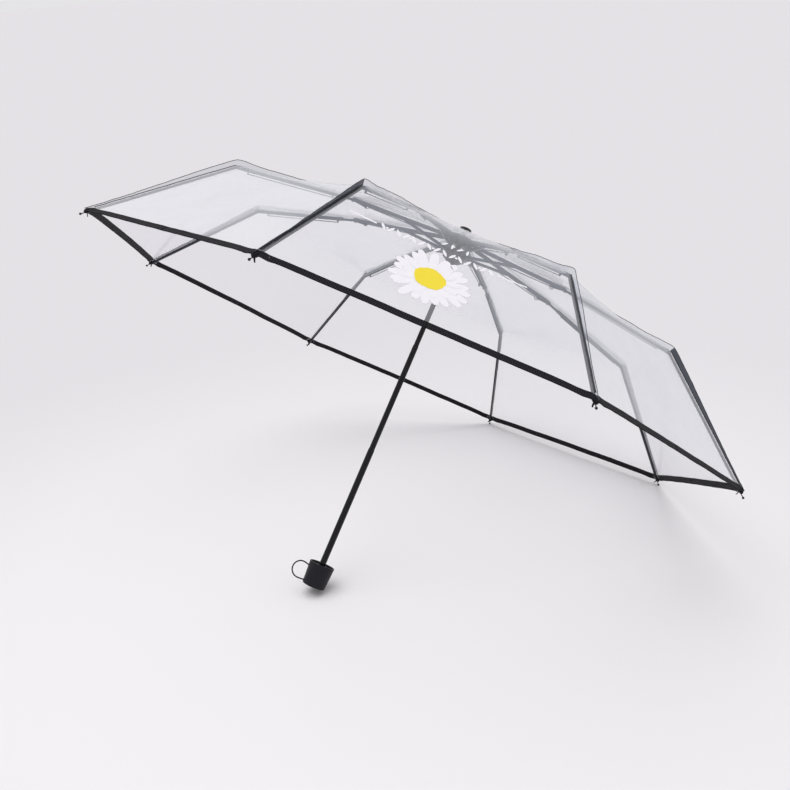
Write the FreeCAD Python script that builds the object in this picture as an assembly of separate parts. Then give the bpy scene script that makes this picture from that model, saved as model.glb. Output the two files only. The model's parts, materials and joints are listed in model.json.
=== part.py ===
"""Clear folding umbrella: three-section shaft, eight folding ribs, clear canopy.

Millimetres. Shaft along +Z, origin at the centre of the handle's bottom face, front panel faces -Y.
Each rib is built in its own upright plane (x outward, y sideways, z up) and turned about Z.
"""
import FreeCAD, Part
import math
import os

os.makedirs("parts", exist_ok=True)
V = FreeCAD.Vector
X, Y, Z = V(1, 0, 0), V(0, 1, 0), V(0, 0, 1)
O = V(0, 0, 0)

# ---- overall sizes ----
RIBS = 8
FIRST_RIB_DEG = 247.5        # rib 1; the front panel lies between ribs 1 and 2
TIP_RADIUS = 475.0           # rim corner, from the shaft's axis
TIP_HEIGHT = 338.5
KNEE_RADIUS = 329.5          # outer joint of each rib
KNEE_HEIGHT = 474.3
CROWN_HEIGHT = 528.0         # rib pivots in the crown
TOP_HEIGHT = 550.0           # top of the ferrule cap

# ---- clearances and fits ----
PIN_CLEAR = 0.05             # radial, at every rivet and pivot pin
SLIDE_CLEAR = 0.08           # radial, between nested tubes
RUNNER_CLEAR = 0.20          # radial, runner over the widest tube
SIDE_CLEAR = 0.20            # beside a link in its slot
CORD_HOLE_CLEAR = 0.15       # radial, around the cord in the handle

# ---- shaft ----
LOWER_TUBE_R = 4.5
TUBE_WALL = 0.4
MIDDLE_TUBE_R = LOWER_TUBE_R - TUBE_WALL - SLIDE_CLEAR
UPPER_TUBE_R = MIDDLE_TUBE_R - TUBE_WALL - SLIDE_CLEAR
LOWER_TUBE_BOTTOM = 10.0
LOWER_TUBE_TOP = 207.0
MIDDLE_TUBE_TOP = 366.0
TUBE_OVERLAP = 25.0
CROWN_TOP = 534.6

# ---- handle and cord ----
HANDLE_H = 33.0
HANDLE_TOP_R = 18.2
HANDLE_BOTTOM_R = 16.4
HANDLE_EDGE = 1.6
RIM_WALL = 1.9
RECESS_FLOOR = 29.0
BOSS_R = 7.2
BOSS_TOP = 31.2
CORD_R = 0.95
CORD_DEG = 186.0
CORD_POINTS = ((12.8, 23.8), (21.8, 27.0), (30.5, 27.2), (37.2, 20.4), (37.2, 11.0), (31.4, 4.2),
               (23.2, 2.8), (12.4, 4.2))

# ---- rib linkage ----
PIVOT_R = 12.0               # radius of the pivots in crown and runner
INNER_DEG = 7.0              # each section's slope below level, open
INNER_LEN = 158.0
STRETCH_LEN = 80.0           # crown pivot to stretcher pivot, and stretcher pivot to runner pivot
CLOSED_DEG = 84.0            # slope of the inner ribs, folded
MIDDLE_CLOSED_DEG = 75.0     # rise of the middle ribs, folded
CRANK_IN = 20.33             # drive rod's pin from the stretcher pivot
CRANK_OUT = 20.0             # drive rod's pin from the middle rib's pivot
TIP_WIRE = 7.0               # bare wire past the rim, to the bead
BEAD_R = 1.6
PIVOT_PIN_R = 0.6
RIVET_R = 0.8
CHANNEL_WALL = 0.6
INNER_HALF_W = 2.5
INNER_TOP = 2.8
CHANNEL_BOTTOM = -1.8
MIDDLE_HALF_W = 2.1
MIDDLE_TOP = 2.2
OUTER_HALF_W = 1.2
OUTER_HALF_H = 1.5
HUB_HALF_W = 1.5
STRETCH_HALF_W = 1.1
STRETCH_HALF_H = 2.0
TAIL_HALF_W = 0.8
TAIL_HALF_H = 1.6
ROD_R = 0.65
ROD_EYE_HALF_T = 0.75
ROD_GAP = 0.9                # beside the channel, to the middle of the drive rod
ROD_SIDE = INNER_HALF_W + ROD_GAP
ROD_EYE_PLAY = 2.0           # open loop around the middle rib's pin
SIDE_WIRE_R = 0.6

# ---- crown, runner, catch ----
CROWN_R = 16.0
CROWN_H = 13.6
CROWN_PLATE = 3.2
RUNNER_FLANGE_R = 16.0
RUNNER_SLEEVE_R = 7.0
RUNNER_BOTTOM = 455.0
RUNNER_FLANGE_BOTTOM = 500.0
RUNNER_FLANGE_TOP = 513.5
CATCH_HEIGHT = 495.0
CATCH_NOSE = LOWER_TUBE_R    # reach of the catch, from the axis
CATCH_HALF_W = 1.2
CATCH_HALF_H = 3.0

# ---- canopy ----
FILM = 0.2
FILM_OVER_RIBS = 3.2
FILM_OVER_OUTER = 2.6
FILM_HOLE_R = 8.0
FILM_HOLE_Z = 536.8
BINDING_W = 8.0
BINDING_T = 1.0
CAP_R = 8.5
CAP_T = 4.0
COLLAR_R = 5.2
STEM_R = 2.6


# ---- helpers ----
def save(name, *solids):
    shape = solids[0] if len(solids) == 1 else Part.makeCompound(list(solids))
    for s in shape.Solids:
        if not s.isValid() or s.Volume <= 0:
            print("PROBLEM: bad solid in", name)
    shape.exportStep("parts/%s.step" % name)
    print("%-18s %2d solid(s) %10.1f mm3" % (name, len(shape.Solids), shape.Volume))


def box(x0, x1, y0, y1, z0, z1):
    return Part.makeBox(x1 - x0, y1 - y0, z1 - z0, V(x0, y0, z0))


def disc(x, z, r, half_w):
    """A round eye across the rib's plane."""
    return Part.makeCylinder(r, 2 * half_w, V(x, -half_w, z), Y)


def cross_pin(x, z, r, y0, y1):
    return Part.makeCylinder(r, y1 - y0, V(x, y0, z), Y)


def fuse(first, *rest):
    return first.multiFuse(list(rest)).removeSplitter()


def polar(length, deg):
    return V(length * math.cos(math.radians(deg)), 0, length * math.sin(math.radians(deg)))


def lay(shape, at, deg):
    """Turn a link built along +X to the given rise and move its pivot to at."""
    s = shape.copy()
    s.rotate(O, Y, -deg)
    s.translate(at)
    return s


def spun(shape, deg):
    s = shape.copy()
    s.rotate(O, Z, deg)
    return s


def rib_deg(k):
    return FIRST_RIB_DEG + (k - 1) * 360.0 / RIBS


def ring_point(r, z, deg):
    a = math.radians(deg)
    return V(r * math.cos(a), r * math.sin(a), z)


# ---- rib geometry in its plane ----
A = V(PIVOT_R, 0, CROWN_HEIGHT)
B = A + polar(INNER_LEN, -INNER_DEG)
J = V(KNEE_RADIUS, 0, KNEE_HEIGHT)
TIP = V(TIP_RADIUS, 0, TIP_HEIGHT)
MIDDLE_LEN = (J - B).Length
MIDDLE_SLOPE = -math.degrees(math.atan2(J.z - B.z, J.x - B.x))
OUTER_LEN = (TIP - J).Length
OUTER_SLOPE = -math.degrees(math.atan2(TIP.z - J.z, TIP.x - J.x))
P = A + polar(STRETCH_LEN, -INNER_DEG)
STRETCH_DEG = 180.0 + INNER_DEG
C = P + polar(STRETCH_LEN, STRETCH_DEG)
E = P + polar(CRANK_IN, STRETCH_DEG)
FOLD_DEG = CLOSED_DEG - INNER_DEG
MIDDLE_TURN = MIDDLE_CLOSED_DEG + MIDDLE_SLOPE + FOLD_DEG
TAIL_FROM_INNER = -(180.0 - (180.0 - MIDDLE_TURN) / 2.0)
T = B + polar(CRANK_OUT, TAIL_FROM_INNER - INNER_DEG)
ROD_LEN = (T - E).Length
ROD_DEG = math.degrees(math.atan2(T.z - E.z, T.x - E.x))


# ---- links ----
def channel(x0, x1, web0, web1, half_w, top):
    """Two flanges from x0 to x1, with a web on top from web0 to web1."""
    inner = half_w - CHANNEL_WALL
    return [box(x0, x1, inner, half_w, CHANNEL_BOTTOM, top),
            box(x0, x1, -half_w, -inner, CHANNEL_BOTTOM, top),
            box(web0, web1, -half_w, half_w, top - CHANNEL_WALL, top)]


def ears(x, r, half_w):
    inner = half_w - CHANNEL_WALL
    return [cross_pin(x, 0, r, inner, half_w), cross_pin(x, 0, r, -half_w, -inner)]


def inner_rib():
    eye_r = 2.4
    parts = [disc(0, 0, eye_r, HUB_HALF_W)]
    parts += [box(0, 14, -HUB_HALF_W, HUB_HALF_W, CHANNEL_BOTTOM, eye_r)]
    parts += [box(10, 14, -INNER_HALF_W, INNER_HALF_W, CHANNEL_BOTTOM, INNER_TOP)]
    parts += channel(12, INNER_LEN, 12, INNER_LEN - 17, INNER_HALF_W, INNER_TOP)
    parts += ears(INNER_LEN, INNER_TOP - 0.2, INNER_HALF_W)
    parts += [cross_pin(STRETCH_LEN, 0, RIVET_R, -INNER_HALF_W - 0.1, INNER_HALF_W + 0.1)]
    parts += [cross_pin(INNER_LEN, 0, RIVET_R, -INNER_HALF_W - 0.1, INNER_HALF_W + 0.1)]
    solid = fuse(*parts)
    solid = solid.cut(disc(0, 0, PIVOT_PIN_R + PIN_CLEAR, HUB_HALF_W + 1))
    return lay(solid, A, -INNER_DEG)


def stretcher():
    parts = [box(0, STRETCH_LEN, -STRETCH_HALF_W, STRETCH_HALF_W, -STRETCH_HALF_H, STRETCH_HALF_H)]
    parts += [disc(x, 0, STRETCH_HALF_H, STRETCH_HALF_W) for x in (0, STRETCH_LEN)]
    parts += [cross_pin(CRANK_IN, 0, PIVOT_PIN_R, -(ROD_SIDE + ROD_EYE_HALF_T + 0.2), 0)]
    solid = fuse(*parts)
    solid = solid.cut(disc(0, 0, RIVET_R + PIN_CLEAR, STRETCH_HALF_W + 1))
    solid = solid.cut(disc(STRETCH_LEN, 0, PIVOT_PIN_R + PIN_CLEAR, STRETCH_HALF_W + 1))
    return solid


def rod_solid():
    y0, y1 = ROD_SIDE - ROD_EYE_HALF_T, ROD_SIDE + ROD_EYE_HALF_T
    near_r = PIVOT_PIN_R + PIN_CLEAR + 1.0
    far_hole = PIVOT_PIN_R + ROD_EYE_PLAY
    far_r = far_hole + 0.8
    rod = Part.makeCylinder(ROD_R, ROD_LEN - far_r - near_r + 0.9, V(near_r - 0.5, ROD_SIDE, 0), X)
    near = cross_pin(0, 0, near_r, y0, y1)
    far = cross_pin(ROD_LEN, 0, far_r, y0, y1).cut(cross_pin(ROD_LEN, 0, far_hole, y0 - 1, y1 + 1))
    solid = fuse(rod, near, far).cut(cross_pin(0, 0, PIVOT_PIN_R + PIN_CLEAR, y0 - 1, y1 + 1))
    return lay(solid, E, ROD_DEG)


def middle_rib():
    tail = polar(CRANK_OUT, TAIL_FROM_INNER - INNER_DEG + MIDDLE_SLOPE)
    tail_deg = math.degrees(math.atan2(tail.z, tail.x))
    arm = box(0, CRANK_OUT, -TAIL_HALF_W, TAIL_HALF_W, -TAIL_HALF_H, TAIL_HALF_H)
    arm = arm.fuse(disc(CRANK_OUT, 0, TAIL_HALF_H, TAIL_HALF_W))
    parts = [lay(arm, O, tail_deg), disc(0, 0, 2.0, TAIL_HALF_W)]
    parts += [cross_pin(tail.x, tail.z, PIVOT_PIN_R, 0, ROD_SIDE + ROD_EYE_HALF_T + 0.2)]
    parts += [box(0, 24, -TAIL_HALF_W, TAIL_HALF_W, -TAIL_HALF_H, TAIL_HALF_H)]
    parts += [box(20, 24, -MIDDLE_HALF_W, MIDDLE_HALF_W, CHANNEL_BOTTOM, MIDDLE_TOP)]
    parts += channel(22, MIDDLE_LEN, 22, MIDDLE_LEN - 3, MIDDLE_HALF_W, MIDDLE_TOP)
    parts += ears(MIDDLE_LEN, 2.0, MIDDLE_HALF_W)
    parts += [cross_pin(MIDDLE_LEN, 0, RIVET_R, -MIDDLE_HALF_W, MIDDLE_HALF_W)]
    side, drop = -ROD_SIDE, -4.0
    parts += [Part.makeCylinder(SIDE_WIRE_R, MIDDLE_LEN - 44, V(28, side, drop), X)]
    for x in (28, MIDDLE_LEN - 17.4):
        parts += [box(x, x + 1.4, side - 0.5, -MIDDLE_HALF_W + 0.5, drop - 0.5, CHANNEL_BOTTOM + 0.8)]
    solid = fuse(*parts).cut(disc(0, 0, RIVET_R + PIN_CLEAR, TAIL_HALF_W + 0.5))
    return lay(solid, B, -MIDDLE_SLOPE)


def outer_rib():
    cap0, cap1 = OUTER_LEN - 14.0, OUTER_LEN - 1.0
    end = OUTER_LEN + TIP_WIRE
    parts = [box(0, cap0 + 2, -OUTER_HALF_W, OUTER_HALF_W, -OUTER_HALF_H, OUTER_HALF_H)]
    parts += [disc(0, 0, OUTER_HALF_H, OUTER_HALF_W)]
    parts += [Part.makeCylinder(2.0, cap1 - cap0, V(cap0, 0, 0), X)]
    parts += [Part.makeCylinder(0.6, end - cap1, V(cap1 - 0.5, 0, 0), X)]
    parts += [Part.makeSphere(BEAD_R, V(end, 0, 0))]
    solid = fuse(*parts).cut(disc(0, 0, RIVET_R + PIN_CLEAR, OUTER_HALF_W + 1))
    return lay(solid, J, -OUTER_SLOPE)


# the stretcher is built from its outer pivot towards the runner, so its pin side is mirrored
stretch_solid = lay(stretcher(), O, 0)
stretch_solid.rotate(O, X, 180)
links = {
    "inner_rib": inner_rib(),
    "stretcher": lay(stretch_solid, P, STRETCH_DEG),
    "drive_rod": rod_solid(),
    "middle_rib": middle_rib(),
    "outer_rib": outer_rib(),
}
for k in range(1, RIBS + 1):
    for name, solid in links.items():
        save("%s_%d" % (name, k), spun(solid, rib_deg(k)))


# ---- shaft ----
def tube(r, z0, z1):
    return Part.makeCylinder(r, z1 - z0, V(0, 0, z0)).cut(
        Part.makeCylinder(r - TUBE_WALL, z1 - z0 + 2, V(0, 0, z0 - 1)))


catch_slot = box(0, 6, -CATCH_HALF_W - 0.1, CATCH_HALF_W + 0.1,
                 CATCH_HEIGHT - CATCH_HALF_H - 0.1, CATCH_HEIGHT + CATCH_HALF_H + 0.1)
save("lower_tube", tube(LOWER_TUBE_R, LOWER_TUBE_BOTTOM, LOWER_TUBE_TOP))
save("middle_tube", tube(MIDDLE_TUBE_R, LOWER_TUBE_TOP - TUBE_OVERLAP, MIDDLE_TUBE_TOP))
save("upper_tube", tube(UPPER_TUBE_R, MIDDLE_TUBE_TOP - TUBE_OVERLAP, CROWN_TOP).cut(catch_slot))

# ---- crown: eight slots, each with its pivot pin ----
crown = Part.makeCylinder(CROWN_R, CROWN_H, V(0, 0, CROWN_TOP - CROWN_H))
crown = crown.cut(Part.makeCylinder(UPPER_TUBE_R, CROWN_H + 2, V(0, 0, CROWN_TOP - CROWN_H - 1)))
slot_w = HUB_HALF_W + SIDE_CLEAR
slot = box(8.6, CROWN_R + 2, -slot_w, slot_w, CROWN_TOP - CROWN_H - 1, CROWN_TOP - CROWN_PLATE)
crown = crown.cut(Part.makeCompound([spun(slot, rib_deg(k)) for k in range(1, RIBS + 1)]))
pin = cross_pin(PIVOT_R, CROWN_HEIGHT, PIVOT_PIN_R, -slot_w - 0.6, slot_w + 0.6)
crown = fuse(crown, *[spun(pin, rib_deg(k)) for k in range(1, RIBS + 1)])
save("crown", crown)

# ---- runner: sleeve, flange with slots and pins, thumb collar ----
runner_bore = LOWER_TUBE_R + RUNNER_CLEAR
runner = fuse(
    Part.makeCylinder(RUNNER_SLEEVE_R, RUNNER_FLANGE_TOP - RUNNER_BOTTOM, V(0, 0, RUNNER_BOTTOM)),
    Part.makeCylinder(RUNNER_FLANGE_R, RUNNER_FLANGE_TOP - RUNNER_FLANGE_BOTTOM,
                      V(0, 0, RUNNER_FLANGE_BOTTOM)),
    Part.makeCone(RUNNER_SLEEVE_R, RUNNER_FLANGE_R, 6, V(0, 0, RUNNER_FLANGE_BOTTOM - 6)),
    Part.makeCylinder(RUNNER_SLEEVE_R + 1.6, 3, V(0, 0, RUNNER_BOTTOM)),
)
runner = runner.cut(Part.makeCylinder(runner_bore, 80, V(0, 0, RUNNER_BOTTOM - 5)))
slot_w = STRETCH_HALF_W + SIDE_CLEAR
slot = box(8.8, RUNNER_FLANGE_R + 2, -slot_w, slot_w, C.z - STRETCH_HALF_H - 0.6, RUNNER_FLANGE_TOP + 1)
runner = runner.cut(Part.makeCompound([spun(slot, rib_deg(k)) for k in range(1, RIBS + 1)]))
pin = cross_pin(C.x, C.z, PIVOT_PIN_R, -slot_w - 0.6, slot_w + 0.6)
runner = fuse(runner, *[spun(pin, rib_deg(k)) for k in range(1, RIBS + 1)])
save("runner", runner)

# ---- runner catch and its spring, inside the upper tube ----
z0, z1 = CATCH_HEIGHT - CATCH_HALF_H, CATCH_HEIGHT + CATCH_HALF_H
catch = box(1.9, CATCH_NOSE, -CATCH_HALF_W, CATCH_HALF_W, z0, z1)
ramp = box(0, 3, -3, 3, 0, 4)
ramp.rotate(O, Y, -35)
ramp.translate(V(CATCH_NOSE - 0.6, 0, z1 - 1.8))
catch = catch.cut(ramp)
save("runner_catch", catch)
bore_r = UPPER_TUBE_R - TUBE_WALL
spring = fuse(box(1.35, 1.85, -0.9, 0.9, z0 - 12, z1 - 1),
              box(-bore_r + 0.25, 1.85, -0.9, 0.9, z0 - 14, z0 - 12),
              box(-bore_r + 0.25, -bore_r + 0.75, -0.9, 0.9, z0 - 14, z1 + 8))
save("catch_spring", spring)


# ---- ferrule: clear collar under a black cap ----
stem_top = TOP_HEIGHT - CAP_T
cap = fuse(
    Part.makeCylinder(bore_r - 0.02, 8, V(0, 0, CROWN_TOP - 8)),
    Part.makeCylinder(STEM_R, stem_top + 1 - CROWN_TOP + 4, V(0, 0, CROWN_TOP - 4)),
    Part.makeCylinder(CAP_R, CAP_T - 2.2, V(0, 0, stem_top)),
    Part.makeSphere(17.5, V(0, 0, TOP_HEIGHT - 17.5)).common(
        Part.makeCylinder(CAP_R, CAP_T, V(0, 0, stem_top + 0.5))),
)
save("ferrule_cap", cap)
collar = Part.makeCone(COLLAR_R + 1.6, COLLAR_R, stem_top - CROWN_TOP - 0.2, V(0, 0, CROWN_TOP + 0.1))
save("ferrule_collar", collar.cut(Part.makeCylinder(STEM_R, 40, V(0, 0, CROWN_TOP - 10))))


# ---- handle ----
def turned(points):
    face = Part.Face(Part.makePolygon([V(r, 0, z) for r, z in points + points[:1]]))
    return face.revolve(O, Z, 360)


flat_r = HANDLE_BOTTOM_R - HANDLE_EDGE
handle = turned([(0, 0), (flat_r, 0), (HANDLE_BOTTOM_R - 0.5, 0.5), (HANDLE_BOTTOM_R, HANDLE_EDGE),
                 (HANDLE_TOP_R, HANDLE_H - 0.6), (HANDLE_TOP_R - 0.6, HANDLE_H),
                 (HANDLE_TOP_R - RIM_WALL, HANDLE_H), (HANDLE_TOP_R - RIM_WALL - 0.6, RECESS_FLOOR),
                 (BOSS_R, RECESS_FLOOR), (BOSS_R - 0.6, BOSS_TOP), (0, BOSS_TOP)])
handle = handle.cut(Part.makeCylinder(LOWER_TUBE_R, HANDLE_H, V(0, 0, LOWER_TUBE_BOTTOM)))


# ---- wrist cord: straight runs joined by tangent arcs, both ends in the handle ----
def cord_wire(points):
    turns = []
    for a, b, c in zip(points, points[1:], points[2:]):
        half = (b - a).getAngle(c - b) / 2
        radius = 0.45 * min((b - a).Length, (c - b).Length) / math.tan(half)
        turns.append((b, (a - b).normalize(), (c - b).normalize(), radius * math.tan(half), half, radius))
    edges, last, length = [], points[0], 0.0
    for b, back, on, cut, half, radius in turns:
        start, stop = b + back * cut, b + on * cut
        middle = b + (back + on).normalize() * (radius / math.cos(half) - radius)
        edges += [Part.makeLine(last, start), Part.Arc(start, middle, stop).toShape()]
        length += (start - last).Length + radius * 2 * half
        last = stop
    edges.append(Part.makeLine(last, points[-1]))
    length += (points[-1] - last).Length
    print("cord radii", [round(t[5], 1) for t in turns], "length", round(length, 1))
    return Part.Wire(edges), length


points = [ring_point(r, z, CORD_DEG) for r, z in CORD_POINTS]
route, cord_length = cord_wire(points)
section = Part.Wire(Part.makeCircle(CORD_R, points[0], points[1] - points[0]))
cord = route.makePipeShell([section], True, True)
print("cord volume / (section x length)", round(cord.Volume / (math.pi * CORD_R ** 2 * cord_length), 4))
for end, near in ((points[0], points[1]), (points[-1], points[-2])):
    handle = handle.cut(Part.makeCylinder(CORD_R + CORD_HOLE_CLEAR, 11, end, near - end))
save("handle", handle)
save("wrist_cord", cord)


# ---- canopy: flat facets between neighbouring ribs, ending at the binding ----
def offset_line(at, deg, up):
    """A point on the line above a link, and the line's direction."""
    return at + polar(up, deg + 90), polar(1, deg)


def meet(line_a, line_b):
    (p, d), (q, e) = line_a, line_b
    t = ((q.x - p.x) * e.z - (q.z - p.z) * e.x) / (d.x * e.z - d.z * e.x)
    return p + d * t


over_inner = offset_line(B, -INNER_DEG, FILM_OVER_RIBS)
over_middle = offset_line(B, -MIDDLE_SLOPE, FILM_OVER_RIBS)
over_outer = offset_line(J, -OUTER_SLOPE, FILM_OVER_OUTER)
film_top = V(FILM_HOLE_R, 0, FILM_HOLE_Z)
film_b = meet(over_inner, over_middle)
film_j = meet(over_middle, over_outer)
film_rim = TIP + polar(FILM_OVER_OUTER, -OUTER_SLOPE + 90)
film_edge = film_rim + polar(BINDING_W / math.cos(math.radians(12)), 180 - OUTER_SLOPE)


def facet(lower, upper, deg, below, above):
    """A flat plate between two ribs; lower and upper are points in a rib's plane."""
    step = 360.0 / RIBS
    corners = [ring_point(p.x, p.z, deg + s) for p, s in
               ((upper, 0), (lower, 0), (lower, step), (upper, step))]
    normal = (corners[1] - corners[0]).cross(corners[3] - corners[0]).normalize()
    face = Part.Face(Part.makePolygon([c - normal * below for c in corners + corners[:1]]))
    return face.extrude(normal * (below + above))


for k in range(1, RIBS + 1):
    plates = [facet(film_b, film_top, rib_deg(k), 0, FILM),
              facet(film_j, film_b, rib_deg(k), 0, FILM),
              facet(film_edge, film_j, rib_deg(k), 0, FILM)]
    save("canopy_panel_%d" % k, *plates)
strips = [facet(film_rim, film_edge, rib_deg(k), 0.3, BINDING_T - 0.3) for k in range(1, RIBS + 1)]
save("edge_binding", fuse(*strips))

# ---- numbers for the record ----
for name, p in (("A", A), ("B", B), ("C", C), ("E", E), ("J", J), ("P", P), ("T", T), ("TIP", TIP),
                ("film_b", film_b), ("film_j", film_j), ("film_edge", film_edge), ("film_rim", film_rim)):
    print("point %-9s r %8.3f z %8.3f" % (name, p.x, p.z))
print("turns: fold %.3f middle %.3f outer %.3f rod len %.3f" %
      (FOLD_DEG, MIDDLE_TURN, MIDDLE_CLOSED_DEG + MIDDLE_SLOPE + 98.0 - OUTER_SLOPE, ROD_LEN))
print("slopes: middle %.3f outer %.3f  lengths: middle %.3f outer %.3f" %
      (MIDDLE_SLOPE, OUTER_SLOPE, MIDDLE_LEN, OUTER_LEN))
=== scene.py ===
"""Clear folding umbrella: film canopy, seams, edge tape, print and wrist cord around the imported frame."""
import json
import math
import random

import bmesh
import bpy
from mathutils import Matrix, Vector, noise


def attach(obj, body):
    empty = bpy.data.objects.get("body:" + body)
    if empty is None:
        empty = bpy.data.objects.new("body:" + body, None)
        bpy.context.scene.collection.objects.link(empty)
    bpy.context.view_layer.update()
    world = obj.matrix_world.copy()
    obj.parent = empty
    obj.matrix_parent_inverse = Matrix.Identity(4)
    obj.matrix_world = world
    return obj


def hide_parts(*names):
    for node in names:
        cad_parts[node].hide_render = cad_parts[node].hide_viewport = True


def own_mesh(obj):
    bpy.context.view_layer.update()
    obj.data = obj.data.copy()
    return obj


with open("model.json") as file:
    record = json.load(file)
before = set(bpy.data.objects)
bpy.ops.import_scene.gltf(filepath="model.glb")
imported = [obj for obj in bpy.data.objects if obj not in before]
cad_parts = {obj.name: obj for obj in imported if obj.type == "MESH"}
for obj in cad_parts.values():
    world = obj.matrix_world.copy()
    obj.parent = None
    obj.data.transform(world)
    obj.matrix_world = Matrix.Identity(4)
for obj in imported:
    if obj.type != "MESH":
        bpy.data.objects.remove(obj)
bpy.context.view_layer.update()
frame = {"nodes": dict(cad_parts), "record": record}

MM = 0.001
UP = Vector((0, 0, 1))
RIBS = 8
FIRST_RIB_DEG = 247.5
HALF_STEP = math.radians(360 / RIBS / 2)
COS_H, SIN_H, TAN_H = math.cos(HALF_STEP), math.sin(HALF_STEP), math.tan(HALF_STEP)

# ---- joints of rib 1, as the record gives them ----
JOINTS = {j["name"]: j for j in frame["record"]["behaviour"]["joints"]}


def in_rib_plane(joint):
    """Distance from the shaft's axis to a rib joint, and its height."""
    x, y, z = JOINTS[joint]["pos_m"]
    return Vector((math.hypot(x, y), z))


PIVOT, ELBOW, KNEE = (in_rib_plane(j) for j in ("open_close", "fold_middle_1", "fold_outer_1"))
TIP = Vector((0.475, 0.3385))           # outer end of the outer rib's line
ELBOW_X, KNEE_X = ELBOW.x, KNEE.x

# ---- film profile over a rib, from the top hole past the rim ----
FILM_OVER_RIB = 3.2 * MM     # over the line of the inner and middle ribs' joints
FILM_OVER_OUTER = 2.6 * MM
TOP_HOLE, TOP_HEIGHT = 0.0080, 0.5368
PAST_RIM = 0.52


def lifted(start, end, rise):
    """A rib section's line moved up square to itself: its point over the section's end, and its direction."""
    along = (end - start).normalized()
    return end + Vector((-along.y, along.x)) * rise, along


def meet(line_a, line_b):
    """The point where two lines cross."""
    (p, d), (q, e) = line_a, line_b
    return p + d * ((q - p).cross(e) / d.cross(e))


OVER_INNER = lifted(PIVOT, ELBOW, FILM_OVER_RIB)
OVER_MIDDLE = lifted(ELBOW, KNEE, FILM_OVER_RIB)
OVER_OUTER = lifted(KNEE, TIP, FILM_OVER_OUTER)
OUTER_FALL = OVER_OUTER[1].y / OVER_OUTER[1].x
RIM_REACH = OVER_OUTER[0].x  # rim corner over a rib, from the shaft's axis
PROFILE = (
    (TOP_HOLE, TOP_HEIGHT),
    tuple(meet(OVER_INNER, OVER_MIDDLE)),
    tuple(meet(OVER_MIDDLE, OVER_OUTER)),
    (PAST_RIM, OVER_OUTER[0].y + (PAST_RIM - RIM_REACH) * OUTER_FALL),
)
BODY = {"inner": "inner_rib_%d", "middle": "middle_rib_%d", "outer": "outer_rib_%d"}
ZONES = ("inner", "middle", "outer")


# ---- places on the canopy ----
def rib_axes(k):
    """Outward and sideways directions of rib k."""
    a = math.radians(FIRST_RIB_DEG + (k - 1) * 360 / RIBS)
    return Vector((math.cos(a), math.sin(a), 0)), Vector((-math.sin(a), math.cos(a), 0))


def smooth(a, b, x):
    """Eased rise from 0 at a to 1 at b."""
    t = min(1.0, max(0.0, (x - a) / (b - a)))
    return t * t * (3 - 2 * t)


def area_under(r):
    """Integral of the profile, so that its corners can be rounded by averaging."""
    total, x0, z0 = 0.0, *PROFILE[0]
    if r <= x0:
        slope = (PROFILE[1][1] - z0) / (PROFILE[1][0] - x0)
        return (r - x0) * (z0 + slope * (r - x0) / 2)
    for x1, z1 in PROFILE[1:]:
        end = min(r, x1)
        slope = (z1 - z0) / (x1 - x0)
        total += (end - x0) * (z0 + slope * (end - x0) / 2)
        if r <= x1:
            break
        x0, z0 = x1, z1
    return total


CREASE_ON_RIB, CREASE_MIDWAY = 2.6 * MM, 19.6 * MM     # half length that a crease is rounded over
SAG, SAG_BACK_AT_RIM = 3.6 * MM, 1.6 * MM
SWELL, RIPPLE = 0.55 * MM, 0.16 * MM
SEAM_PUCKER, SEAM_PUCKER_REACH = 0.50 * MM, 11 * MM
CORNER_PULL, CORNER_PULL_REACH = 1.1 * MM, 38 * MM


def film_height(across, at_rib, x, y):
    """Height of the film, where across is the reach of its level line at the ribs.
    at_rib is 1 on a rib and 0 midway between two."""
    slack = 1 - at_rib * at_rib
    window = CREASE_ON_RIB + (CREASE_MIDWAY - CREASE_ON_RIB) * slack
    z = (area_under(across + window) - area_under(across - window)) / (2 * window)
    z -= (SAG * smooth(0.05, 0.30, across) - SAG_BACK_AT_RIM * smooth(0.40, 0.47, across)) * slack
    place = Vector((x, y, z))
    z += SWELL * noise.noise(place * 21.0) * slack
    z += RIPPLE * noise.noise(place * 75.0) * smooth(0.03, 0.1, across)
    beside_rib = (1 - at_rib) * across * TAN_H
    pucker = SEAM_PUCKER * math.exp(-beside_rib / SEAM_PUCKER_REACH) * noise.noise(place * 130.0)
    pucker *= smooth(0.04, 0.12, across)
    corner = math.exp(-math.hypot(beside_rib, across - RIM_REACH) / CORNER_PULL_REACH)
    corner *= smooth(0, 4 * MM, beside_rib)
    fan = 8 * math.atan2(beside_rib, RIM_REACH + 8 * MM - across) + 3 * at_rib
    return z + pucker + CORNER_PULL * corner * math.sin(fan)


def film_point(k, x, share):
    """Film over rib k at distance x; share runs from -1 to 1, from one panel's middle to the next."""
    out, side = rib_axes(k)
    spread = COS_H + abs(share) * TAN_H * SIN_H
    at_rib = (1 - abs(share)) * COS_H / spread
    flat = out * x + side * (share * x * TAN_H)
    return flat + UP * film_height(x * spread / COS_H, at_rib, flat.x, flat.y)


def reach_at(reach, share):
    """Distance along the rib's plane at which the level line of that reach crosses the share."""
    return reach * COS_H / (COS_H + abs(share) * TAN_H * SIN_H)


RIM_DIP = 3.2 * MM           # how far the rim curves in between two ribs


def rim_x(share):
    """Distance along the rib's plane at which the rim crosses the share."""
    spread = COS_H + abs(share) * TAN_H * SIN_H
    at_rib = (1 - abs(share)) * COS_H / spread
    return reach_at(RIM_REACH - RIM_DIP * (1 - at_rib ** 2), share)


def zone_ends(zone, share):
    """Distances along the rib's plane at which a section of the film starts and ends."""
    if zone == "inner":
        return reach_at(TOP_HOLE, share), ELBOW_X
    if zone == "middle":
        return ELBOW_X, KNEE_X
    return KNEE_X, rim_x(share)


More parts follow.
